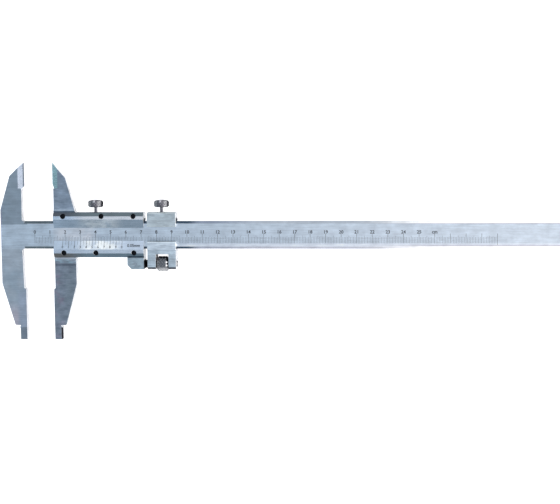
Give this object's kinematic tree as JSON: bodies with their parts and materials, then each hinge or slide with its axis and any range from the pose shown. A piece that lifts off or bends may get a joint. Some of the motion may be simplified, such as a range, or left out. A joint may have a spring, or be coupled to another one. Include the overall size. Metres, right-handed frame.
{
  "type": "vernier caliper",
  "caption": "Metric vernier caliper with double jaws, inside measuring nibs, a sliding vernier frame and a fine adjustment carriage, lying on its back.",
  "frame": {"origin": "centre of the caliper's bounding box, on the surface it lies on", "axes": "+X along the beam from the jaws to its free end, +Y towards the knife jaws, +Z out of the scale face"},
  "size_m": [0.4046, 0.1164, 0.01],
  "materials": {
    "beam_steel": "satin ground and satin chromed scale face, engraved and black filled graduations",
    "slider_steel": "ground steel, brushed along the jaws",
    "plate_steel": "satin chromed plate, engraved and black filled graduations",
    "carriage_steel": "ground steel",
    "knurled_steel": "bright turned steel with a fine knurl",
    "black_steel": "black oxide screws",
    "lead_screw_steel": "black oxide thread with a bright journal",
    "spring_steel": "blued spring steel"
  },
  "bodies": {
    "beam": {"beam": "beam_steel", "beam_stop_screw": "black_steel"},
    "slider": {"slider_frame": "slider_steel", "upper_cover_plate": "plate_steel", "vernier_plate": "plate_steel", "cover_screw_left": "black_steel", "cover_screw_middle": "black_steel", "cover_screw_right": "black_steel", "vernier_screw_left": "black_steel", "vernier_screw_middle": "black_steel", "vernier_screw_right": "black_steel", "lead_screw": "lead_screw_steel", "lead_screw_pin": "slider_steel"},
    "slider_gib": {"slider_gib_spring": "spring_steel"},
    "slider_clamp": {"slider_clamp_screw": "knurled_steel"},
    "carriage": {"carriage_frame": "carriage_steel"},
    "carriage_gib": {"carriage_gib_spring": "spring_steel"},
    "carriage_clamp": {"carriage_clamp_screw": "knurled_steel"},
    "nut": {"adjusting_nut": "knurled_steel"}
  },
  "joints": [
    {"name": "slider_slide", "type": "slide", "parent": "beam", "child": "slider", "axis": [1, 0, 0], "range_m": [-0.01858, 0.2814]},
    {"name": "carriage_slide", "type": "slide", "parent": "slider", "child": "carriage", "axis": [1, 0, 0], "range_m": [-0.0017, 0.003]},
    {"name": "nut_turn", "type": "hinge", "parent": "carriage", "child": "nut", "pos_m": [-0.09595, -0.00815, 0.00505], "axis": [1, 0, 0], "range_deg": [-818, 1442]},
    {"name": "slider_gib_press", "type": "slide", "parent": "slider", "child": "slider_gib", "axis": [0, -1, 0], "range_m": [0, 0.0003]},
    {"name": "slider_clamp_turn", "type": "hinge", "parent": "slider_gib", "child": "slider_clamp", "pos_m": [-0.1397, 0.02675, 0.00505], "axis": [0, -1, 0], "range_deg": [-1, 217]},
    {"name": "carriage_gib_press", "type": "slide", "parent": "carriage", "child": "carriage_gib", "axis": [0, -1, 0], "range_m": [0, 0.0003]},
    {"name": "carriage_clamp_turn", "type": "hinge", "parent": "carriage_gib", "child": "carriage_clamp", "pos_m": [-0.0965, 0.02675, 0.00505], "axis": [0, -1, 0], "range_deg": [-1, 217]}
  ],
  "couplings": [
    {"joint": "nut_turn", "follows": "carriage_slide", "rad_per_m": 8377.6},
    {"joint": "slider_clamp_turn", "follows": "slider_gib_press", "rad_per_m": 12566},
    {"joint": "carriage_clamp_turn", "follows": "carriage_gib_press", "rad_per_m": 12566}
  ]
}
